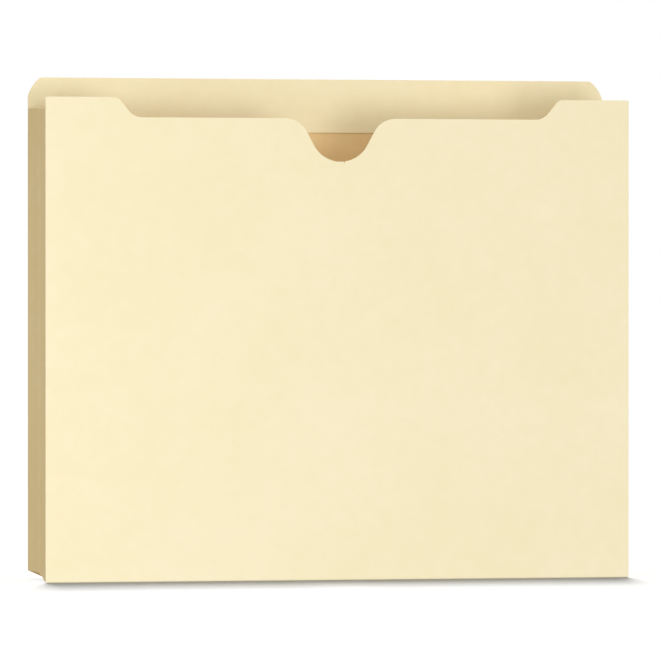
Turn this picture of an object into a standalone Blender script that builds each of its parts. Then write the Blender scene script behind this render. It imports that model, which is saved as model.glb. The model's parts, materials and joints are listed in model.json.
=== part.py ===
"""Expanding file jacket for letter paper: two manila panels, pleated side gussets and a scored bottom.

The jacket stands on its bottom, opened to its full depth, with the tab up. The front panel faces -Y,
+X is to the right of someone who looks at the front, and the origin is on the floor at the middle.
Lengths are in metres and angles in degrees.

Each sheet between two creases is a flat piece of its own. A crease is a hinge whose axis lies just off
the faces that close on each other there, so that the folded sheets come to lie side by side:
a gusset leaf closes on its panel with its inner face, the two leaves of a gusset close on each other
with their outer faces, and the halves of the bottom swing down and close with their upper faces.
"""

import math

import bmesh
import bpy
from mathutils import Vector

# Board, and the room that glued and folded sheets keep
STOCK = 0.0003
GLUE_LINE = 0.0002
CREASE_GAP = 0.00015

# Panels
WIDTH = 0.2985
FRONT_HEIGHT = 0.24075
TAB_RISE = 0.0113
CORNER_RADIUS = 0.0008
TAB_CORNER_RUN = 0.007
TAB_CORNER_DROP = 0.0098
TAB_CORNER_FULLNESS = 1.4
BACK_CORNER_RUN = 0.009
BACK_CORNER_RISE = 0.004

# Cut-outs in the top edge of the front panel
SHOULDER = 0.034
UNDERCUT = 0.010
STEP_HOLLOW_RADIUS = 0.0085
STEP_LIP_RADIUS = 0.005
STEP_SLOPE = 51.0
THUMB_DEPTH = 0.0216
THUMB_RADIUS = 0.0155
THUMB_LIP_RADIUS = 0.0125
THUMB_SLOPE = 62.0

# Second ply of the tab
TAB_PLY_DEPTH = 0.027

# Gussets
LEAF = 0.0254
LEAF_DROP_FRONT = 0.006
LEAF_DROP_REAR = 0.0045
LEAF_FOOT_FRONT = 0.0013
LEAF_FOOT_CREASE = 0.004
REST_FOLD = 1.0

# Glue flaps of the gussets
FLAP = 0.0125
FLAP_TAPER = 0.006
FLAP_FOOT = 0.009
FLAP_DROP = 0.0015

# Bottom
BOTTOM_END_ROOM = 0.0015
BOTTOM_FREE_EDGE_ROOM = 0.0007

# Colours of the board, as linear red, green and blue
FACE_COLOUR = (0.90, 0.79, 0.52)
SHADED_COLOUR = (0.80, 0.66, 0.40)
BOARD_ROUGHNESS = 0.75

ARC_STEP = 7.5

# Room between the axes of a leaf, measured across the leaf and along it
LEAF_OFFSET = STOCK + 2 * CREASE_GAP
LEAF_REACH = math.hypot(LEAF, LEAF_OFFSET)
LEAF_LEAN = math.atan2(LEAF_OFFSET, LEAF)
LEAF_ANGLE = math.radians(REST_FOLD) + LEAF_LEAN

# Planes and lines that several pieces share
AXIS_Y = LEAF_REACH * math.cos(math.radians(REST_FOLD))
AXIS_X = WIDTH / 2 - STOCK - CREASE_GAP
FLAP_FACE_Y = AXIS_Y + CREASE_GAP
PANEL_FACE_Y = FLAP_FACE_Y + STOCK + GLUE_LINE
OUTER_Y = PANEL_FACE_Y + STOCK
BOTTOM_AXIS_Y = PANEL_FACE_Y - 2 * CREASE_GAP
BOTTOM_CREASE_Z = STOCK + CREASE_GAP
BACK_HEIGHT = FRONT_HEIGHT + TAB_RISE
UNDERCUT_Z = FRONT_HEIGHT - UNDERCUT
LEAF_TOP_FRONT = FRONT_HEIGHT - LEAF_DROP_FRONT
LEAF_TOP_REAR = FRONT_HEIGHT - LEAF_DROP_REAR
LEAF_TOP_CREASE = (LEAF_TOP_FRONT + LEAF_TOP_REAR) / 2
TAB_PLY_FOOT = BACK_HEIGHT - TAB_PLY_DEPTH


def clear_scene():
    for old in list(bpy.data.objects):
        bpy.data.objects.remove(old)


def manila(name, colour):
    """Smooth tan tag board, uncoated."""
    board = bpy.data.materials.new(name)
    board.use_nodes = True
    shader = board.node_tree.nodes["Principled BSDF"]
    shader.inputs["Base Color"].default_value = (*colour, 1.0)
    shader.inputs["Roughness"].default_value = BOARD_ROUGHNESS
    shader.inputs["Metallic"].default_value = 0.0
    return board


def hinge(name, parent, place, turn=0.0):
    """An empty on the axis of a crease, turned about Z."""
    axis = bpy.data.objects.new(name, None)
    bpy.context.collection.objects.link(axis)
    axis.parent = parent
    axis.location = place
    axis.rotation_euler.z = turn
    return axis


def place(facing, u, v, depth):
    """The point that lies at (u, v) on a sheet facing X, Y or Z, at a depth along that direction."""
    if facing == "X":
        return Vector((depth, u, v))
    if facing == "Y":
        return Vector((u, depth, v))
    return Vector((u, v, depth))


def sheet(name, outline, facing, low, high, colour, parent=None):
    """A flat piece of board that faces X, Y or Z: an outline, thick from low to high."""
    mesh = bmesh.new()
    face = mesh.faces.new([mesh.verts.new(place(facing, u, v, low)) for u, v in outline])
    grown = bmesh.ops.extrude_face_region(mesh, geom=[face])
    moved = [part for part in grown["geom"] if isinstance(part, bmesh.types.BMVert)]
    bmesh.ops.translate(mesh, vec=place(facing, 0.0, 0.0, high - low), verts=moved)
    bmesh.ops.recalc_face_normals(mesh, faces=mesh.faces)
    data = bpy.data.meshes.new(name)
    mesh.to_mesh(data)
    mesh.free()
    data.materials.append(manila(name + "_board", colour))
    piece = bpy.data.objects.new(name, data)
    bpy.context.collection.objects.link(piece)
    piece.parent = parent
    return piece


def arc(centre, run, rise, start, end):
    """Points on an ellipse of half-axes run and rise, between two angles in degrees from +X."""
    steps = max(2, math.ceil(abs(end - start) / ARC_STEP))
    turns = [math.radians(start + (end - start) * i / steps) for i in range(steps + 1)]
    return [(centre[0] + run * math.cos(a), centre[1] + rise * math.sin(a)) for a in turns]


def ramp(x, z, rise, low_radius, high_radius, slope):
    """A level line at (x, z) that sweeps up to the right by rise and runs out level again.

    A hollow arc, a straight flank and a round arc follow each other. The flank is as steep as slope,
    or less where the two arcs alone make up the rise.
    """
    level = 1 - rise / (low_radius + high_radius)
    slope = min(slope, math.degrees(math.acos(max(level, 0.0))))
    tilt = math.radians(slope)
    flank_rise = rise - (low_radius + high_radius) * (1 - math.cos(tilt))
    run = (low_radius + high_radius) * math.sin(tilt) + flank_rise / math.tan(tilt)
    hollow = arc((x, z + low_radius), low_radius, low_radius, -90, -90 + slope)
    lip = arc((x + run, z + rise - high_radius), high_radius, high_radius, 90 + slope, 90)
    return without_repeats(hollow + lip)


def without_repeats(points):
    """The points, less any that falls on the one before it."""
    kept = points[:1]
    for point in points[1:]:
        if math.dist(point, kept[-1]) > CORNER_RADIUS / 100:
            kept.append(point)
    return kept


def mirrored(points):
    return [(-u, v) for u, v in reversed(points)]


def both_sides(right_half):
    """A whole outline from its right half, which runs from the middle line round to the middle line."""
    return without_repeats(right_half + mirrored(right_half))


def tab_corner():
    """The tab's right corner, from the side edge up to the top edge.

    It is flatter than a quarter of an ellipse: a fullness of 2 is the ellipse and of 1 a straight cut.
    """
    x, z = WIDTH / 2 - TAB_CORNER_RUN, BACK_HEIGHT - TAB_CORNER_DROP
    power = 2 / TAB_CORNER_FULLNESS
    round_corner = arc((0.0, 0.0), 1.0, 1.0, 0, 90)
    return [(x + TAB_CORNER_RUN * u**power, z + TAB_CORNER_DROP * v**power) for u, v in round_corner]


def back_panel():
    """Back panel with its full-width tab, and bottom corners cut back from the pleat."""
    edge = WIDTH / 2
    bottom_corner = [(edge - BACK_CORNER_RUN, 0.0), (edge, BACK_CORNER_RISE)]
    outline = both_sides(bottom_corner + tab_corner())
    sheet("back_panel", outline, "Y", PANEL_FACE_Y, OUTER_Y, FACE_COLOUR)


def tab_reinforcement():
    """Second ply glued inside the tab, cut to the tab's own corners."""
    outline = both_sides([(WIDTH / 2, TAB_PLY_FOOT)] + tab_corner())
    sheet("tab_reinforcement", outline, "Y", FLAP_FACE_Y, FLAP_FACE_Y + STOCK, FACE_COLOUR)


def front_outline():
    """Front panel: shoulders, an undercut between them and a thumb cut in the middle."""
    edge = WIDTH / 2
    thumb = ramp(0.0, UNDERCUT_Z - THUMB_DEPTH, THUMB_DEPTH, THUMB_RADIUS, THUMB_LIP_RADIUS, THUMB_SLOPE)
    step = ramp(0.0, UNDERCUT_Z, UNDERCUT, STEP_HOLLOW_RADIUS, STEP_LIP_RADIUS, STEP_SLOPE)
    step_shift = edge - SHOULDER - step[-1][0]
    step = [(x + step_shift, z) for x, z in step]
    inset = edge - CORNER_RADIUS
    top_corner = arc((inset, FRONT_HEIGHT - CORNER_RADIUS), CORNER_RADIUS, CORNER_RADIUS, 90, 0)
    bottom_corner = arc((inset, CORNER_RADIUS), CORNER_RADIUS, CORNER_RADIUS, 0, -90)
    return both_sides(thumb + step + top_corner + bottom_corner)


def front_panel(edge_axis):
    """Front panel, carried by the crease along its left edge."""
    outline = [(x + AXIS_X, z) for x, z in front_outline()]
    sheet("front_panel", outline, "Y", AXIS_Y - OUTER_Y, AXIS_Y - PANEL_FACE_Y, FACE_COLOUR, edge_axis)


def glue_flap(name, side, top, low, parent, edge, out):
    """The strip of a gusset that is glued to a panel, with its ends cut back.

    The flap runs inwards from the panel's side edge. Its outline is drawn for the right side, and
    side turns it to the left.
    """
    inner = edge - FLAP
    right = [(edge, FLAP_FOOT), (edge, top), (inner, top - FLAP_TAPER), (inner, FLAP_FOOT + FLAP_TAPER)]
    outline = [(side * x + out, z) for x, z in right]
    sheet(name, outline, "Y", low, low + STOCK, SHADED_COLOUR, parent)


def leaf(name, parent, feet, tops, low):
    """A gusset leaf that runs forwards from the axis of its rear crease.

    feet and tops are the heights of its ends there and at its front crease.
    """
    near, far = -CREASE_GAP, CREASE_GAP - LEAF
    outline = [(near, feet[0]), (far, feet[1]), (far, tops[1]), (near, tops[0])]
    sheet(name, outline, "X", low, low + STOCK, SHADED_COLOUR, parent)


def gusset(label, side):
    """Two leaves that fold inwards between the panels. Returns the axis at the front panel's edge.

    side is -1 on the left and 1 on the right.
    """
    outside = CREASE_GAP if side > 0 else -CREASE_GAP - STOCK
    inside = -CREASE_GAP - STOCK if side > 0 else CREASE_GAP
    turn = -side * LEAF_ANGLE
    rear = hinge(label + "_rear_crease", None, (side * AXIS_X, AXIS_Y, 0.0), turn)
    middle = hinge(label + "_middle_crease", rear, (side * LEAF_OFFSET, -LEAF, 0.0), -2 * turn)
    front = hinge(label + "_front_crease", middle, (-side * LEAF_OFFSET, -LEAF, 0.0), turn)
    rear_feet = (LEAF_FOOT_CREASE, LEAF_FOOT_CREASE)
    front_feet = (LEAF_FOOT_CREASE, LEAF_FOOT_FRONT)
    rear_tops = (LEAF_TOP_REAR, LEAF_TOP_CREASE)
    front_tops = (LEAF_TOP_CREASE, LEAF_TOP_FRONT)
    leaf(label + "_gusset_rear_leaf", rear, rear_feet, rear_tops, outside)
    leaf(label + "_gusset_front_leaf", middle, front_feet, front_tops, inside)
    return front


def bottom():
    """The scored bottom: two halves that hang from the back panel and meet at the middle score.

    The rear half narrows to the back panel's cut corners.
    """
    reach = WIDTH / 2 - BOTTOM_END_ROOM
    rear_reach = reach - BACK_CORNER_RUN
    rear = hinge("bottom_rear_crease", None, (0.0, BOTTOM_AXIS_Y, 0.0))
    middle = hinge("bottom_middle_crease", rear, (0.0, -BOTTOM_AXIS_Y, BOTTOM_CREASE_Z))
    score = CREASE_GAP - BOTTOM_AXIS_Y
    rear_half = [(-reach, score), (reach, score), (rear_reach, 0.0), (-rear_reach, 0.0)]
    sheet("bottom_rear_half", rear_half, "Z", 0.0, STOCK, SHADED_COLOUR, rear)
    free = BOTTOM_FREE_EDGE_ROOM - BOTTOM_AXIS_Y
    front_half = [(-reach, free), (reach, free), (reach, -CREASE_GAP), (-reach, -CREASE_GAP)]
    under = -BOTTOM_CREASE_Z
    sheet("bottom_front_half", front_half, "Z", under, under + STOCK, SHADED_COLOUR, middle)


def main():
    clear_scene()
    back_panel()
    tab_reinforcement()
    front_axis = gusset("left", -1)
    gusset("right", 1)
    front_panel(front_axis)
    edge = WIDTH / 2
    rear_top = TAB_PLY_FOOT - FLAP_DROP
    front_low = -CREASE_GAP - STOCK
    for label, side in (("left", -1), ("right", 1)):
        glue_flap(label + "_rear_flap", side, rear_top, FLAP_FACE_Y, None, edge, 0.0)
        glue_flap(label + "_front_flap", side, LEAF_TOP_FRONT, front_low, front_axis, edge, AXIS_X)
    bottom()


main()
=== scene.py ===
"""An opened manila file jacket on a pale floor, as folded board with soft creases.

Every sheet is a numpy grid of middle points that is given the board's thickness. The panels are bowed a
little, the gussets and the bottom are scored, and strips of board turn round the creases.
"""

import json
import math

import bpy
import numpy as np
from bpy.props import FloatProperty, FloatVectorProperty, PointerProperty
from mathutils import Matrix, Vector

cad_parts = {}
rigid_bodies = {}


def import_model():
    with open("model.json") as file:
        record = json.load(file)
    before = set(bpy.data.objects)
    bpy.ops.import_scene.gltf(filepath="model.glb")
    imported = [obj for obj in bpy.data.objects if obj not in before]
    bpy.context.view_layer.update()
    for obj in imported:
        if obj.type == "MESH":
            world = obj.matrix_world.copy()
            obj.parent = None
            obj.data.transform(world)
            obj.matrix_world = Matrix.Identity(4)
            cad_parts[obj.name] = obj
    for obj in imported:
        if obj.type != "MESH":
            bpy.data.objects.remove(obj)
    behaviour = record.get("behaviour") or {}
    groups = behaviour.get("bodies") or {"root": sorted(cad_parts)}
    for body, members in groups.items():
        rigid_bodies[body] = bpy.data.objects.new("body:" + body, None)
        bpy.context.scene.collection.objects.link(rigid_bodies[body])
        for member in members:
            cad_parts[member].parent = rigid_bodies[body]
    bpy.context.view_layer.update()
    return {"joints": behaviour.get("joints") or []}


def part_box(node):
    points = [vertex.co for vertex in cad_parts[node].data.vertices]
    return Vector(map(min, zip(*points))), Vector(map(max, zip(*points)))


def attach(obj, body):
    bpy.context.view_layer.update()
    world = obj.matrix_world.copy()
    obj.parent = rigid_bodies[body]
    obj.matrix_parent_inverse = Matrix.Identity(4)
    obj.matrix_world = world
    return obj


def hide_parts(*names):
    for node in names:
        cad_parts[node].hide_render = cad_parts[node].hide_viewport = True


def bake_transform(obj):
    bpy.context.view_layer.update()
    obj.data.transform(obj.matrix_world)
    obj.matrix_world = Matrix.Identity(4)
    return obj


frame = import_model()

bl_info = {
    "name": "File Jacket",
    "version": (1, 0, 0),
    "blender": (4, 5, 0),
    "location": "View3D > Sidebar > Jacket",
    "description": "Builds an expanding manila file jacket and its studio stage",
    "category": "Add Mesh",
}

# The creases' axes and the corners of the solids, from the frame
AXES = {joint["name"]: np.array(joint["pos_m"]) for joint in frame["joints"]}
FRONT_LOW, FRONT_HIGH = (np.array(corner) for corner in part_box("front_panel"))
BACK_LOW, BACK_HIGH = (np.array(corner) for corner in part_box("back_panel"))
PLY_LOW, PLY_HIGH = (np.array(corner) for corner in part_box("tab_reinforcement"))
LEAF_LOW, LEAF_HIGH = (np.array(corner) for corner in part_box("left_gusset_rear_leaf"))
REAR_FLAP_LOW, REAR_FLAP_HIGH = (np.array(corner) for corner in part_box("left_rear_flap"))
FRONT_FLAP_LOW, FRONT_FLAP_HIGH = (np.array(corner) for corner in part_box("left_front_flap"))
BOTTOM_END = float(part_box("bottom_rear_half")[1][0])
HALF_WIDTH = float(BACK_HIGH[0])

# Panels, in metres
FOOT_TOP = 0.001  # height where a panel goes over into the fold along its foot
LIP_ROOM = 0.00075  # from the bottom's crease inwards to where a foot fold meets the bottom
NICK_PLACE = 0.0019  # to the right of the thumb cut's middle
NICK_HALF_WIDTH = 0.00025
TAB_LEAN_REACH = 0.006  # how far below the front panel's top the tab starts to lean

# Slow waves in the panels: lengths in metres over which they turn by one radian, across and up
CROSSED_WAVE = (0.019, 0.027)
CROSSED_PHASE = (0.8, 0.5)
SLANTED_WAVE = (0.041, 0.033)
SLANTED_SHARE = 0.6
WAVES_HELD = 0.03  # height over which the foot holds the waves down

# Gussets, flaps and scores, in metres
LEAF_SIDE = 0.0006  # between a leaf's two axes, across the leaf
LEAF_FOOT = 0.0004  # height of a pleat's low end at the front
MIDDLE_OFF_AXIS = 0.0003  # from a crease's axis to the middle of the board round it
OVERLAP = 0.0015  # how far a flap's fold runs along its leaf
FLAP_TAPER = 0.006  # how much sooner a flap's free edge ends than its fold, at the top and at the foot
FLAP_FLAT_END = 0.0004  # from a crease's axis to where the flap's flat part ends
SCORE_BAND = 0.0016  # stations lie close together this near to a score
SCORE_WIDTH = 0.0005  # from a score to where its bead has sunk to 1/e
SCORE_SOFTNESS = 0.0004  # radius of the bend at a score

# Counts of stations in the grids
PANEL_ROWS = 90
PLY_ROWS = 16
FOOT_ROWS = 60
PLEAT_ROWS = 70
FLAP_ROWS = 60
BOTTOM_ROWS = 80
PLEAT_STATIONS = 26
BOTTOM_STATIONS = 20
SCORE_STATIONS = 17
FLAP_STATIONS = 12
OVERLAP_STATIONS = 6
CURVE_STATIONS = 24
CORNER_STATIONS = 8
FOOT_TURN_STATIONS = 10
COLUMN_SPACING = 0.003
SAME_POINT = 2e-6  # points of an edge that are closer in x count as one
SAME_COLUMN = 5e-6
SHARP_EDGE = math.radians(40)

# Sizes of the board's grain, in metres
FLOC = 0.007
DRIFT = 0.06
STRAND = (0.0016, 0.0004, 0.0004)
TOOTH = 0.0006
TOOTH_HEIGHT = 0.00003
TEAR = 0.0005

# Stage: metres, and degrees from the front and from the level
FLOOR_REACH = 30.0
FLOOR_DROP = 0.00005  # keeps the floor clear of the jacket's underside
LAMP_AIM = Vector((0.0, 0.0, 0.12))
FLOOR_LAMP_TURN, FLOOR_LAMP_SPREAD = 170, 6
FLOOR_LAMP_LIFTS = (84.5, 79.5, 74.5, 69.5)
# Far lamps that light the jacket: each one's name and setting, and its spread, turn and lift
FAR_LAMPS = (
    ("top_lamp", "top", 80, 0, 70),
    ("front_lamp", "front", 40, 5, 0),
    ("key_lamp", "key", 18, 9, -7),
    ("back_lamp", "behind", 20, 168, 45),
)
LEFT_LAMP_SIZE, LEFT_LAMP_TURN, LEFT_LAMP_LIFT, LEFT_LAMP_DISTANCE = 0.3, -60, -4, 0.6
SENSOR_WIDTH = 36.0
CAMERA_REACH = 100.0


def linear(code):
    """An sRGB hex code as linear red, green, blue and alpha."""
    channels = np.array([int(code[i : i + 2], 16) for i in (1, 3, 5)]) / 255
    curved = np.where(channels <= 0.04045, channels / 12.92, ((channels + 0.055) / 1.055) ** 2.4)
    return (*(float(c) for c in curved), 1.0)


def length(name, description, default):
    """A setting in metres."""
    return FloatProperty(name=name, description=description, default=default, unit="LENGTH", precision=5)


def angle(name, description, degrees):
    """A setting that is given in degrees and kept in radians."""
    return FloatProperty(name=name, description=description, default=math.radians(degrees), subtype="ANGLE")


def strength(name, description, default):
    """A setting for the strength of a light."""
    return FloatProperty(name=name, description=description, default=default, min=0.0)


def tint(name, description, code):
    """A setting for a colour."""
    return FloatVectorProperty(
        name=name, description=description, default=linear(code), size=4, subtype="COLOR", min=0.0, max=1.0
    )


class JacketBoard(bpy.types.PropertyGroup):
    """Sizes of the board, its cut-outs and its folds."""

    thickness: length("Thickness", "Thickness of the manila board", 0.0003)
    shoulder: length("Shoulder", "Level top edge at each side of the front panel", 0.034)
    undercut: length("Undercut", "Drop from the shoulders to the front panel's middle", 0.010)
    step_hollow: length("Step hollow", "Radius where the step runs out into the undercut", 0.0085)
    step_lip: length("Step lip", "Radius where the shoulder turns down into the step", 0.005)
    step_slope: angle("Step slope", "Slope of the step's flank", 51.0)
    thumb_depth: length("Thumb depth", "Depth of the thumb cut below the undercut", 0.0216)
    thumb_radius: length("Thumb radius", "Radius of the thumb cut's bottom", 0.0155)
    thumb_lip: length("Thumb lip", "Radius of the thumb cut's lips", 0.0125)
    thumb_slope: angle("Thumb slope", "Slope of the thumb cut's flanks", 62.0)
    corner: length("Corner", "Radius of the front panel's corners", 0.0008)
    tab_corner_run: length("Tab corner run", "Width of the tab's round corner", 0.007)
    tab_corner_drop: length("Tab corner drop", "Height of the tab's round corner", 0.0098)
    tab_corner_fullness: FloatProperty(
        name="Tab corner fullness",
        description="1 is a straight cut and 2 a quarter of an ellipse",
        default=1.4,
    )
    foot_cut_run: length("Foot cut run", "Width of the cut at the back panel's bottom corners", 0.009)
    foot_cut_rise: length("Foot cut rise", "Height of the cut at the back panel's bottom corners", 0.004)
    front_bow: length("Front bow", "How far the front panel's mouth bows outwards", 0.0016)
    back_bow: length("Back bow", "How far the back panel bows outwards", 0.0009)
    tab_curl: length("Tab curl", "How far the tab's top edge leans back", 0.0008)
    nick: length("Nick", "Depth of the cutting die's nick at the bottom of the thumb cut", 0.0014)
    ripple: length("Ripple", "Height of the slow waves in the board", 0.00012)
    leaf_belly: length("Leaf belly", "How far each gusset leaf bellies inwards", 0.0003)
    score_bead: length("Score bead", "Height of the bead along a score", 0.00025)
    fold_radius: length("Fold radius", "Radius of the board's middle round the bottom folds", 0.00045)
    bottom_room: length("Bottom room", "Trimmed off each end of the bottom, clear of the gusset", 0.0035)


class JacketLook(bpy.types.PropertyGroup):
    """Colours of the board. Lining, ply and pleat are darker and warmer than the face: painted shade."""

    face: tint("Face", "Outside of the panels where the pulp is thin and pale", "#F3E7C3")
    face_cloud: tint("Face cloud", "Outside of the panels where the pulp clumps", "#F0E4BC")
    # Painted shade: the inside of the panels is the face's manila, darkened and warmed for the shade and
    # bounced light in the pocket.
    shaded_lining: tint("Lining", "Inside of the panels where the pulp is thin and pale", "#E9CE9A")
    shaded_lining_cloud: tint("Lining cloud", "Inside of the panels where the pulp clumps", "#E5C790")
    # Painted shade: the ply is the face's manila, made a little darker and warmer for the shade that the
    # front panel throws on the tab.
    ply: tint("Ply", "Ply inside the tab where the pulp is thin and pale", "#F0E5C0")
    ply_cloud: tint("Ply cloud", "Ply inside the tab where the pulp clumps", "#EDE1B8")
    # Painted shade: the gussets and the bottom are the panels' manila, made darker and warmer for the shade
    # on the gussets' sides.
    pleat: tint("Pleat", "Gusset and bottom board where the pulp is thin and pale", "#EAD29A")
    pleat_cloud: tint("Pleat cloud", "Gusset and bottom board where the pulp clumps", "#E6CC91")
    fibre: tint("Fibre", "Stray fibres in the board", "#C9AC77")
    cut: tint("Cut edge", "Raw edge of the board where it was cut", "#FBF1DA")
    floor: tint("Floor", "Studio floor", "#BCBCBC")


class JacketStage(bpy.types.PropertyGroup):
    """Camera and lamps."""

    turn: angle("Turn", "Camera's turn to the left of the front", 12.35)
    lift: angle("Lift", "Camera's height above the level", 0.3)
    distance: length("Distance", "Camera's distance from the jacket", 3.17)
    aim_right: length("Aim right", "Point that the camera looks at, to the right of the middle", 0.0006)
    aim_up: length("Aim up", "Point that the camera looks at, above the floor", 0.1249)
    lens: FloatProperty(
        name="Lens", description="Focal length for a 36 mm sensor", default=343.0, unit="CAMERA"
    )
    sky: strength("Sky", "Strength of the white surroundings", 0.468)
    floor_lamp: strength("Floor lamp", "Irradiance of the high lamps that light the floor, over pi", 1.6)
    top: strength("Top", "Irradiance of the wide lamp above, over pi", 0.333)
    front: strength("Front", "Irradiance of the wide lamp in front, over pi", 0.235)
    key: strength("Key", "Irradiance of the low lamp in front, over pi", 0.16)
    behind: strength("Behind", "Irradiance of the lamp behind, over pi", 0.8)
    left_power: FloatProperty(
        name="Left power", description="Power of the near lamp to the left", default=0.54, unit="POWER"
    )


def arc(centre, run, rise, start, end, count):
    """Points on an ellipse of half-axes run and rise between two angles in radians, counted from +X."""
    turn = np.linspace(start, end, count)
    return np.column_stack((centre[0] + run * np.cos(turn), centre[1] + rise * np.sin(turn)))


def ramp(x, z, rise, low_radius, high_radius, slope):
    """A level line that sweeps up by rise: a hollow arc, a straight flank and a round arc."""
    slope = min(slope, math.acos(max(1 - rise / (low_radius + high_radius), 0.0)))
    flank = rise - (low_radius + high_radius) * (1 - math.cos(slope))
    run = (low_radius + high_radius) * math.sin(slope) + flank / math.tan(slope)
    level = math.pi / 2
    low_centre, high_centre = (x, z + low_radius), (x + run, z + rise - high_radius)
    hollow = arc(low_centre, low_radius, low_radius, -level, slope - level, CURVE_STATIONS)
    lip = arc(high_centre, high_radius, high_radius, level + slope, level, CURVE_STATIONS)
    return np.vstack((hollow, lip))


def whole_edge(right_half):
    """A top edge from its right half, as x that rises from the left and its heights z."""
    both = np.vstack((right_half[::-1] * (-1, 1), right_half))
    keep = np.concatenate(([True], np.diff(both[:, 0]) > SAME_POINT))
    return both[keep, 0], both[keep, 1]


def front_edge(board):
    """Top edge of the front panel: thumb cut, undercut, step and shoulder."""
    top = float(FRONT_HIGH[2])
    undercut = top - board.undercut
    depth, slope = board.thumb_depth, board.thumb_slope
    thumb = ramp(0.0, undercut - depth, depth, board.thumb_radius, board.thumb_lip, slope)
    step = ramp(0.0, undercut, board.undercut, board.step_hollow, board.step_lip, board.step_slope)
    step[:, 0] += HALF_WIDTH - board.shoulder - step[-1, 0]
    centre = (HALF_WIDTH - board.corner, top - board.corner)
    corner = arc(centre, board.corner, board.corner, math.pi / 2, 0.0, CORNER_STATIONS)
    return whole_edge(np.vstack((thumb, step, corner)))


def back_edge(board):
    """Top edge of the back panel: a level tab whose corners are flatter than quarters of an ellipse.

    The corner's x and z are powers 2 / fullness of the cosine and sine, times its run and drop.
    """
    run, drop = board.tab_corner_run, board.tab_corner_drop
    top = float(BACK_HIGH[2])
    quarter = np.abs(arc((0.0, 0.0), 1.0, 1.0, math.pi / 2, 0.0, CURVE_STATIONS))
    corner = quarter ** (2 / board.tab_corner_fullness) * (run, drop) + (HALF_WIDTH - run, top - drop)
    return whole_edge(np.vstack(([[0.0, top]], corner)))


def columns(edge_x):
    """The edge's own x, with others between them no further apart than the column spacing."""
    even = np.linspace(edge_x[0], edge_x[-1], int((edge_x[-1] - edge_x[0]) / COLUMN_SPACING) + 1)
    merged = np.union1d(edge_x, even)
    return merged[np.concatenate(([True], np.diff(merged) > SAME_COLUMN))]


def bow(x, z, height, depth, ripple):
    """How far a panel bows outwards: nothing along its sides and its foot, most at the middle of its top.

    The bow is (1 - u^2)^2 (z / height)^1.5 with u across the half width. Slow waves ride on it: the product
    of a sine across and a sine up, and a slanted sine.
    """
    held = (1 - (x / HALF_WIDTH) ** 2) ** 2
    rise = np.clip(z / height, 0.0, None) ** 1.5
    across = np.sin(x / CROSSED_WAVE[0] + CROSSED_PHASE[0])
    up = np.sin(z / CROSSED_WAVE[1] + CROSSED_PHASE[1])
    waves = across * up + SLANTED_SHARE * np.sin(x / SLANTED_WAVE[0] - z / SLANTED_WAVE[1])
    return held * (depth * rise + ripple * waves * np.clip(z / WAVES_HELD, 0.0, 1.0))


def slab(name, middle, thickness, materials):
    """A closed board from a grid of middle points: both faces lie half the thickness off along the normals.

    The normals are the cross products of the grid's two directions. The first material is on the face that
    the normals leave, the second on the other face and the third on the cut rim.
    """
    across, along = np.gradient(middle, axis=0), np.gradient(middle, axis=1)
    normals = np.cross(across, along)
    normals /= np.linalg.norm(normals, axis=2, keepdims=True)
    n, m = middle.shape[:2]
    shift = normals * thickness / 2
    points = np.concatenate(((middle + shift).reshape(-1, 3), (middle - shift).reshape(-1, 3)))
    a = np.arange(n * m).reshape(n, m)
    b = a + n * m

    def quads(p, q, r, s):
        return np.stack((p, q, r, s), axis=-1).reshape(-1, 4)

    outer = quads(a[:-1, :-1], a[1:, :-1], a[1:, 1:], a[:-1, 1:])
    inner = quads(b[:-1, :-1], b[:-1, 1:], b[1:, 1:], b[1:, :-1])
    foot = quads(a[:-1, 0], b[:-1, 0], b[1:, 0], a[1:, 0])
    head = quads(a[:-1, -1], a[1:, -1], b[1:, -1], b[:-1, -1])
    first = quads(a[0, :-1], a[0, 1:], b[0, 1:], b[0, :-1])
    last = quads(a[-1, :-1], b[-1, :-1], b[-1, 1:], a[-1, 1:])
    rim = np.concatenate((foot, head, first, last))
    faces = np.concatenate((outer, inner, rim))
    mesh = bpy.data.meshes.new(name)
    mesh.from_pydata(points, [], faces.tolist())
    sides = np.repeat(np.arange(3, dtype=np.int32), (len(outer), len(inner), len(rim)))
    mesh.polygons.foreach_set("material_index", sides)
    for material in materials:
        mesh.materials.append(material)
    mesh.update()
    mesh.shade_smooth()
    mesh.set_sharp_from_angle(angle=SHARP_EDGE)
    piece = bpy.data.objects.new(name, mesh)
    bpy.context.scene.collection.objects.link(piece)
    return piece


def panel_grid(x, low, high, rows, base_y, bow_at):
    """Upright sheet: x across, rows from the low edge to the high one, and y from base_y and bow_at(x, z)."""
    share = np.linspace(0.0, 1.0, rows)
    z = low[:, None] + (high - low)[:, None] * share
    x = np.broadcast_to(x[:, None], z.shape)
    return np.stack((x, base_y + bow_at(x, z), z), axis=-1)


def strip_grid(path, low, high, rows, order):
    """A profile carried along a straight line: path gives two coordinates and low to high the third.

    order names the world axes of the path's two coordinates and of the line, such as (0, 1, 2).
    """
    share = np.linspace(0.0, 1.0, rows)
    span = low[:, None] + (high - low)[:, None] * share
    grid = np.empty((*span.shape, 3))
    grid[..., order[0]] = path[:, 0, None]
    grid[..., order[1]] = path[:, 1, None]
    grid[..., order[2]] = span
    return grid


def across_score(reach, count):
    """Stations from reach to -reach across a score at zero, close together in the band round it."""
    fine = np.linspace(0.0, SCORE_BAND, SCORE_STATIONS)
    half = np.concatenate((fine, np.linspace(SCORE_BAND, reach, count)[1:]))
    return np.concatenate((half[::-1], -half[1:]))


def bead(y, board):
    """Bead along a score: the bell curve exp(-(y / width)^2) times its height."""
    return board.score_bead * np.exp(-((y / SCORE_WIDTH) ** 2))


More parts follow.
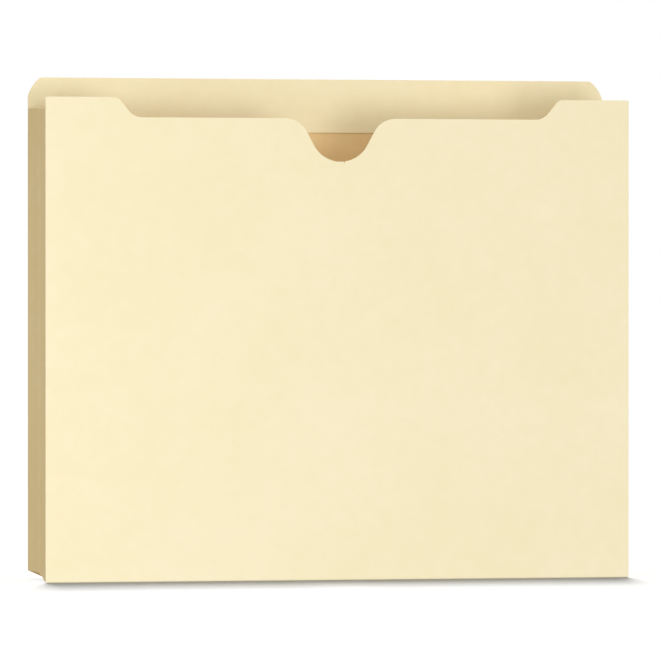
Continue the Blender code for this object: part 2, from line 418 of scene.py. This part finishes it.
def add(tree, kind, settings=(), **links):
    """One node with its settings, and links from sockets or values to its inputs by name."""
    node = tree.nodes.new(kind)
    for key, value in dict(settings).items():
        setattr(node, key, value)
    for key, value in links.items():
        socket = node.inputs[int(key[1:]) if key[0] == "_" else key.replace("_", " ")]
        if isinstance(value, bpy.types.NodeSocket):
            tree.links.new(value, socket)
        else:
            socket.default_value = value
    return node


def manila(name, face, cloud, fibre):
    """Manila tag board: buff-dyed pulp, pressed smooth between rollers and left uncoated.

    The eye gets a warm matt buff with faint clouds where the pulp clumps, a few darker fibres that lie along
    the roll, and a fine tooth. The real fibres are about 0.05 mm thick: they are drawn four times as thick,
    and the tooth is drawn coarser too, so that both show.
    """
    board = bpy.data.materials.new(name)
    board.use_nodes = True
    tree = board.node_tree
    tree.nodes.clear()
    blend = {"data_type": "RGBA"}
    place = add(tree, "ShaderNodeTexCoord").outputs["Object"]
    flocs = add(tree, "ShaderNodeTexNoise", Vector=place, Scale=1 / FLOC, Detail=4.0, Roughness=0.6)
    drift = add(tree, "ShaderNodeTexNoise", Vector=place, Scale=1 / DRIFT, Detail=2.0, Roughness=0.5)
    floc, slow = flocs.outputs["Fac"], drift.outputs["Fac"]
    mixed = add(tree, "ShaderNodeMath", {"operation": "ADD"}, _0=floc, _1=slow)
    clumped = add(tree, "ShaderNodeMapRange", Value=mixed.outputs[0], From_Min=0.75, From_Max=1.25)
    tone = add(tree, "ShaderNodeMix", blend, _0=clumped.outputs[0], _6=face, _7=cloud)
    roll = add(tree, "ShaderNodeMapping", Vector=place, Scale=[1 / size for size in STRAND])
    strands = add(
        tree, "ShaderNodeTexNoise", Vector=roll.outputs[0], Scale=1.0, Detail=2.0, Distortion=0.6
    )
    strand = strands.outputs["Fac"]
    sparse = add(tree, "ShaderNodeMapRange", Value=strand, From_Min=0.68, From_Max=0.78, To_Max=0.16)
    dyed = add(tree, "ShaderNodeMix", blend, _0=sparse.outputs[0], _6=tone.outputs[2], _7=fibre)
    tooth = add(tree, "ShaderNodeTexNoise", Vector=place, Scale=1 / TOOTH, Detail=3.0, Roughness=0.65)
    relief = add(
        tree, "ShaderNodeBump", Strength=0.12, Distance=TOOTH_HEIGHT, Height=tooth.outputs["Fac"]
    )
    dull = add(tree, "ShaderNodeMapRange", Value=floc, To_Min=0.62, To_Max=0.78)
    shader = add(
        tree,
        "ShaderNodeBsdfPrincipled",
        Base_Color=dyed.outputs[2],
        Roughness=dull.outputs[0],
        Normal=relief.outputs[0],
        IOR=1.5,
        Specular_IOR_Level=0.35,
    )
    add(tree, "ShaderNodeOutputMaterial", Surface=shader.outputs[0])
    return board


def cut_edge(name, pale, fibre):
    """Die-cut edge of the board: torn pulp with no pressed skin, so it is paler, rougher and streaked."""
    edge = bpy.data.materials.new(name)
    edge.use_nodes = True
    tree = edge.node_tree
    tree.nodes.clear()
    place = add(tree, "ShaderNodeTexCoord").outputs["Object"]
    tears = add(tree, "ShaderNodeTexNoise", Vector=place, Scale=1 / TEAR, Detail=3.0, Roughness=0.7)
    torn = tears.outputs["Fac"]
    streak = add(tree, "ShaderNodeMapRange", Value=torn, From_Min=0.45, From_Max=0.8, To_Max=0.35)
    tone = add(tree, "ShaderNodeMix", {"data_type": "RGBA"}, _0=streak.outputs[0], _6=pale, _7=fibre)
    shader = add(tree, "ShaderNodeBsdfPrincipled", Base_Color=tone.outputs[2], Roughness=0.9, IOR=1.5)
    add(tree, "ShaderNodeOutputMaterial", Surface=shader.outputs[0])
    return edge


def boards(front_side, back_side):
    """The materials of a slab's two faces and of its rim, each made once."""
    look = bpy.context.scene.jacket_look
    made = bpy.data.materials
    rim = made.get("manila_cut_edge") or cut_edge("manila_cut_edge", look.cut, look.fibre)
    sides = []
    for side in (front_side, back_side):
        name = "manila_" + side
        tones = getattr(look, side), getattr(look, side + "_cloud")
        sides.append(made.get(name) or manila(name, *tones, look.fibre))
    return *sides, rim


def foot_path(panel_y, inner_y, board):
    """Profile of a bottom fold in y and z: down the panel's middle, round a quarter turn and inwards."""
    side = math.copysign(1.0, panel_y)
    radius, half = board.fold_radius, board.thickness / 2
    centre = (abs(panel_y) - radius, half + radius)
    turn = arc(centre, radius, radius, 0.0, -math.pi / 2, FOOT_TURN_STATIONS)
    path = np.vstack(([[abs(panel_y), FOOT_TOP]], turn, [[abs(inner_y), half]]))
    return path * (side, 1.0)


class JACKET_OT_front(bpy.types.Operator):
    """Front panel with its shoulders, undercut and thumb cut, and the fold along its foot"""

    bl_idname = "jacket.front"
    bl_label = "Front Panel"

    def execute(self, context):
        board = context.scene.jacket_board
        edge_x, edge_z = front_edge(board)
        nick_x = NICK_PLACE + np.array([-NICK_HALF_WIDTH, 0.0, NICK_HALF_WIDTH])
        x = columns(np.union1d(edge_x, nick_x))
        high = np.interp(x, edge_x, edge_z) - np.interp(x, nick_x, [0.0, board.nick, 0.0])
        low = np.full_like(x, FOOT_TOP)
        middle_y = float(FRONT_LOW[1] + FRONT_HIGH[1]) / 2
        height = float(FRONT_HIGH[2])

        def bowed(x, z):
            """The panel's bow, which is towards -Y."""
            return -bow(x, z, height, board.front_bow, board.ripple)

        # The panel's inside takes the lining tone, which is painted shade.
        sides = boards("face", "shaded_lining")
        grid = panel_grid(x, low, high, PANEL_ROWS, middle_y, bowed)
        panel = slab("front_board", grid, board.thickness, sides)
        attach(panel, "front")
        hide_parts("front_panel")

        # The fold's ends are rounded as the panel's corners are: quarters of a circle, by height
        path = foot_path(middle_y, abs(AXES["bottom_rear_crease"][1]) - LIP_ROOM, board)
        drop = np.clip((FOOT_TOP - path[:, 1]) / (FOOT_TOP - board.thickness / 2), 0.0, 1.0)
        reach = HALF_WIDTH - board.corner * (1 - np.sqrt(1 - drop**2))
        grid = strip_grid(path, -reach, reach, FOOT_ROWS, (1, 2, 0))
        fold = slab("front_foot_fold", grid, board.thickness, sides)
        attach(fold, "front")
        return {"FINISHED"}


class JACKET_OT_back(bpy.types.Operator):
    """Back panel with its tab, the ply inside the tab, and the fold along the panel's foot"""

    bl_idname = "jacket.back"
    bl_label = "Back Panel"

    def execute(self, context):
        board = context.scene.jacket_board
        middle_y = float(BACK_LOW[1] + BACK_HIGH[1]) / 2
        height = float(BACK_HIGH[2])
        lean_start = float(FRONT_HIGH[2]) - TAB_LEAN_REACH

        def bowed(x, z):
            """The panel's bow, and the tab's lean by the square of the share of its height."""
            on_tab = np.clip((z - lean_start) / (height - lean_start), 0.0, 1.0)
            return bow(x, z, height, board.back_bow, board.ripple) + board.tab_curl * on_tab**2

        edge_x, edge_z = back_edge(board)
        foot_end = HALF_WIDTH - board.foot_cut_run
        x = columns(np.union1d(edge_x, [-foot_end, foot_end]))
        high = np.interp(x, edge_x, edge_z)
        from_side = HALF_WIDTH - np.abs(x)
        low = np.maximum(board.foot_cut_rise * (1 - from_side / board.foot_cut_run), FOOT_TOP)
        # The panel's inside, towards the front, takes the lining tone, which is painted shade.
        sides = boards("shaded_lining", "face")
        grid = panel_grid(x, low, high, PANEL_ROWS, middle_y, bowed)
        panel = slab("back_board", grid, board.thickness, sides)
        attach(panel, "back")
        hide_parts("back_panel")

        ply_y = float(PLY_LOW[1] + PLY_HIGH[1]) / 2
        low = np.full_like(x, float(PLY_LOW[2]))
        grid = panel_grid(x, low, high, PLY_ROWS, ply_y, bowed)
        # Both faces of the ply take painted-shade tones: the ply tone in front and the lining tone behind.
        ply = slab("tab_ply", grid, board.thickness, boards("ply", "shaded_lining"))
        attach(ply, "back")
        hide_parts("tab_reinforcement")

        crease_y = AXES["bottom_rear_crease"][1]
        path = foot_path(middle_y, crease_y - LIP_ROOM, board)
        reach = np.full(len(path), foot_end)
        grid = strip_grid(path, -reach, reach, FOOT_ROWS, (1, 2, 0))
        fold = slab("back_foot_fold", grid, board.thickness, sides)
        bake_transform(fold)
        return {"FINISHED"}


def leaf_angle():
    """Turn of a rear leaf from square, from the places of its two axes and the board between them."""
    reach = AXES["left_middle_crease"] - AXES["left_rear_crease"]
    line = math.atan2(reach[0], -reach[1])
    return line + math.atan2(LEAF_SIDE, math.sqrt(reach[0] ** 2 + reach[1] ** 2 - LEAF_SIDE**2))


class JACKET_OT_gussets(bpy.types.Operator):
    """Left and right gussets: two leaves each, joined at a score"""

    bl_idname = "jacket.gussets"
    bl_label = "Gussets"

    def execute(self, context):
        board = context.scene.jacket_board
        axis = AXES["left_rear_crease"]
        lean = leaf_angle()
        start = axis[1] - OVERLAP * math.cos(lean) - MIDDLE_OFF_AXIS * math.sin(lean)
        start_x = axis[0] - MIDDLE_OFF_AXIS * math.cos(lean) + OVERLAP * math.sin(lean)
        # The leaves' profile is a hyperbola round the score, with a belly in each leaf and the score's bead
        y = across_score(start, PLEAT_STATIONS)
        soft = np.sqrt(y**2 + SCORE_SOFTNESS**2) - math.sqrt(start**2 + SCORE_SOFTNESS**2)
        belly = board.leaf_belly * np.sin(math.pi * np.clip(np.abs(y) / start, 0, 1)) ** 2
        x = start_x - math.tan(lean) * soft + belly - bead(y, board)
        stations = np.array([-start, 0.0, start])
        crease_top = float(LEAF_HIGH[2] + FRONT_FLAP_HIGH[2]) / 2
        low = np.interp(y, stations, [LEAF_FOOT, LEAF_LOW[2], LEAF_LOW[2]])
        high = np.interp(y, stations, [FRONT_FLAP_HIGH[2], crease_top, LEAF_HIGH[2]])
        left, right = np.column_stack((x, y)), np.column_stack((-x, y))
        # No fold leads from the right gusset to the front panel, so its last station lies at that crease
        right[-1] = (MIDDLE_OFF_AXIS - axis[0], -axis[1])
        for label, path in (("left", left), ("right", right)):
            grid = strip_grid(path, low, high, PLEAT_ROWS, (0, 1, 2))
            # The gussets take the pleat tone, which is painted shade.
            pleat = slab(f"{label}_pleat", grid, board.thickness, boards("pleat", "pleat"))
            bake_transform(pleat)
            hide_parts(f"{label}_gusset_rear_leaf", f"{label}_gusset_front_leaf")
        return {"FINISHED"}


class JACKET_OT_flaps(bpy.types.Operator):
    """Glue flaps of the gussets, each with the fold that leads to its leaf"""

    bl_idname = "jacket.flaps"
    bl_label = "Glue Flaps"

    def execute(self, context):
        board = context.scene.jacket_board
        axis = AXES["left_rear_crease"]
        lean = leaf_angle()
        radius = MIDDLE_OFF_AXIS
        wide = float(REAR_FLAP_HIGH[0]) - axis[0]
        flap_x = np.linspace(wide, FLAP_FLAT_END, FLAP_STATIONS)
        flap = np.column_stack((flap_x, np.full(FLAP_STATIONS, radius)))
        turn = arc((0.0, 0.0), radius, radius, math.pi / 2, math.pi + lean, FLAP_STATIONS)
        down = np.linspace(0.0, OVERLAP, OVERLAP_STATIONS)[1:, None]
        leaf = turn[-1] + down * np.array([math.sin(lean), -math.cos(lean)])
        path = np.vstack((flap, turn, leaf))
        from_fold = np.clip(path[:, 0], 0.0, None) / wide
        folded = len(flap) + len(turn)
        on_leaf = np.arange(len(path)) >= folded
        ends = {
            "rear": (REAR_FLAP_LOW[2], REAR_FLAP_HIGH[2], LEAF_LOW[2], LEAF_HIGH[2]),
            "front": (FRONT_FLAP_LOW[2], FRONT_FLAP_HIGH[2], LEAF_FOOT, FRONT_FLAP_HIGH[2]),
        }
        for label, side in (("left", 1.0), ("right", -1.0)):
            for end, along in (("rear", 1.0), ("front", -1.0)):
                flap_low, flap_high, leaf_low, leaf_high = (float(v) for v in ends[end])
                low = np.where(on_leaf, leaf_low, flap_low + FLAP_TAPER * from_fold)
                high = np.where(on_leaf, leaf_high, flap_high - FLAP_TAPER * from_fold)
                mirror = np.array([side, along])
                corner = axis[:2] * mirror
                # The right gusset's crease at the front panel is open, so that flap ends at its fold
                kept = folded if (label, end) == ("right", "front") else len(path)
                profile = path[:kept] * mirror + corner
                grid = strip_grid(profile, low[:kept], high[:kept], FLAP_ROWS, (0, 1, 2))
                # The flaps take the pleat tone, which is painted shade.
                piece = slab(f"{label}_{end}_flap_fold", grid, board.thickness, boards("pleat", "pleat"))
                if end == "rear":
                    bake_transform(piece)
                elif label == "left":
                    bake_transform(piece)
                else:
                    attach(piece, "front")
                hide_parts(f"{label}_{end}_flap")
        return {"FINISHED"}


class JACKET_OT_bottom(bpy.types.Operator):
    """Scored bottom between the two foot folds"""

    bl_idname = "jacket.bottom"
    bl_label = "Bottom"

    def execute(self, context):
        board = context.scene.jacket_board
        start = AXES["bottom_rear_crease"][1] - LIP_ROOM
        y = across_score(start, BOTTOM_STATIONS)
        z = board.thickness / 2 + bead(y, board)
        # Level ends on the front half, and ends that narrow to the back panel's cut corners on the rear one
        reach = np.interp(y, [0.0, start], [BOTTOM_END - board.bottom_room, HALF_WIDTH - board.foot_cut_run])
        grid = strip_grid(np.column_stack((y, z)), -reach, reach, BOTTOM_ROWS, (1, 2, 0))
        # The bottom takes the pleat tone, which is painted shade.
        base = slab("bottom_board", grid, board.thickness, boards("pleat", "pleat"))
        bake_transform(base)
        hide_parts("bottom_rear_half", "bottom_front_half")
        return {"FINISHED"}


def towards(turn, lift):
    """Unit vector from the jacket to a lamp, turned to the right of the front and lifted, in degrees."""
    turn, lift = math.radians(turn), math.radians(lift)
    return Vector((math.sin(turn) * math.cos(lift), -math.cos(turn) * math.cos(lift), math.sin(lift)))


def lamp(light, turn, lift, lit, distance=2.0, shading=None):
    """Hangs a lamp in a direction, facing the jacket's middle. It isn't seen, and lights the collection lit.

    Only the pieces in the collection shading throw its shadow, or all of them where there is none.
    """
    holder = bpy.data.objects.new(light.name, light)
    way = towards(turn, lift)
    holder.location = way * distance + LAMP_AIM
    holder.rotation_euler = way.to_track_quat("Z", "Y").to_euler()
    holder.visible_camera = False
    holder.light_linking.receiver_collection = lit
    holder.light_linking.blocker_collection = shading
    bpy.context.scene.collection.objects.link(holder)


def parallel(name, irradiance, spread):
    """A lamp far away: the same irradiance, given over pi, everywhere, and shadows as soft as its spread."""
    light = bpy.data.lights.new(name, "SUN")
    light.energy = irradiance * math.pi
    light.angle = math.radians(spread)
    return light


def matt_floor(tone):
    """Floor board rolled with matt emulsion: even and without gloss, so that only a shadow shows on it."""
    paint = bpy.data.materials.new("matt_emulsion")
    paint.use_nodes = True
    tree = paint.node_tree
    tree.nodes.clear()
    shader = add(tree, "ShaderNodeBsdfPrincipled", Base_Color=tone, Roughness=1.0, Specular_IOR_Level=0.0)
    add(tree, "ShaderNodeOutputMaterial", Surface=shader.outputs[0])
    return paint


class JACKET_OT_stage(bpy.types.Operator):
    """Pale floor, soft lamps, white surroundings and the camera"""

    bl_idname = "jacket.stage"
    bl_label = "Stage"

    def execute(self, context):
        scene = context.scene
        stage = scene.jacket_stage
        mesh = bpy.data.meshes.new("floor")
        corners = np.array([(-1, -1, 0), (1, -1, 0), (1, 1, 0), (-1, 1, 0)]) * FLOOR_REACH
        mesh.from_pydata(corners - (0.0, 0.0, FLOOR_DROP), [], [(0, 1, 2, 3)])
        mesh.materials.append(matt_floor(scene.jacket_look.floor))
        floor = bpy.data.objects.new("floor", mesh)
        floor.visible_shadow = False
        floor.visible_diffuse = False
        floor.visible_glossy = False
        scene.collection.objects.link(floor)

        on_floor = bpy.data.collections.new("lit_floor")
        on_floor.objects.link(floor)
        on_jacket = bpy.data.collections.new("lit_jacket")
        on_jacket.objects.link(floor)
        on_jacket.collection_objects[0].light_linking.link_state = "EXCLUDE"
        shading = bpy.data.collections.new("shades_floor")
        for piece in scene.objects:
            if piece.name.startswith("front_"):
                shading.objects.link(piece)
        share = stage.floor_lamp / len(FLOOR_LAMP_LIFTS)
        for lift in FLOOR_LAMP_LIFTS:
            light = parallel("floor_lamp", share, FLOOR_LAMP_SPREAD)
            lamp(light, FLOOR_LAMP_TURN, lift, on_floor, shading=shading)
        for name, setting, spread, turn, lift in FAR_LAMPS:
            lamp(parallel(name, getattr(stage, setting), spread), turn, lift, on_jacket)
        near = bpy.data.lights.new("left_lamp", "AREA")
        near.shape = "DISK"
        near.size = LEFT_LAMP_SIZE
        near.energy = stage.left_power
        lamp(near, LEFT_LAMP_TURN, LEFT_LAMP_LIFT, on_jacket, LEFT_LAMP_DISTANCE)

        world = bpy.data.worlds.new("white_studio")
        world.use_nodes = True
        tree = world.node_tree
        tree.nodes.clear()
        seen = add(tree, "ShaderNodeLightPath").outputs["Is Camera Ray"]
        level = add(tree, "ShaderNodeMapRange", Value=seen, To_Min=stage.sky, To_Max=1.0)
        glow = add(tree, "ShaderNodeBackground", Color=(1.0, 1.0, 1.0, 1.0), Strength=level.outputs[0])
        add(tree, "ShaderNodeOutputWorld", Surface=glow.outputs[0])
        scene.world = world
        scene.view_settings.view_transform = "Standard"

        camera = bpy.data.cameras.new("camera")
        camera.sensor_width = SENSOR_WIDTH
        camera.lens = stage.lens
        camera.clip_end = CAMERA_REACH
        holder = bpy.data.objects.new("camera", camera)
        flat = math.cos(stage.lift)
        forward = np.array([math.sin(stage.turn) * flat, math.cos(stage.turn) * flat, -math.sin(stage.lift)])
        aim = np.array([stage.aim_right, 0.0, stage.aim_up])
        holder.location = aim - forward * stage.distance
        holder.rotation_euler = (math.pi / 2 - stage.lift, 0.0, -stage.turn)
        scene.collection.objects.link(holder)
        scene.camera = holder
        return {"FINISHED"}


class JACKET_PT_sidebar(bpy.types.Panel):
    """Sizes, colours and steps of the file jacket"""

    bl_idname = "JACKET_PT_sidebar"
    bl_label = "File Jacket"
    bl_space_type = "VIEW_3D"
    bl_region_type = "UI"
    bl_category = "Jacket"

    def draw(self, context):
        for step in STEPS:
            self.layout.operator(step.bl_idname)
        for name in GROUPS:
            group = getattr(context.scene, name)
            box = self.layout.box()
            for key in group.__annotations__:
                box.prop(group, key)


STEPS = (
    JACKET_OT_front,
    JACKET_OT_back,
    JACKET_OT_gussets,
    JACKET_OT_flaps,
    JACKET_OT_bottom,
    JACKET_OT_stage,
)
GROUPS = {"jacket_board": JacketBoard, "jacket_look": JacketLook, "jacket_stage": JacketStage}


def register():
    for group in GROUPS.values():
        bpy.utils.register_class(group)
    for key, group in GROUPS.items():
        setattr(bpy.types.Scene, key, PointerProperty(type=group))
    for step in (*STEPS, JACKET_PT_sidebar):
        bpy.utils.register_class(step)


def unregister():
    for step in (JACKET_PT_sidebar, *reversed(STEPS)):
        bpy.utils.unregister_class(step)
    for key, group in GROUPS.items():
        delattr(bpy.types.Scene, key)
        bpy.utils.unregister_class(group)


def main():
    register()
    bpy.ops.jacket.front()
    bpy.ops.jacket.back()
    bpy.ops.jacket.gussets()
    bpy.ops.jacket.flaps()
    bpy.ops.jacket.bottom()
    bpy.ops.jacket.stage()


if __name__ == "__main__":
    main()
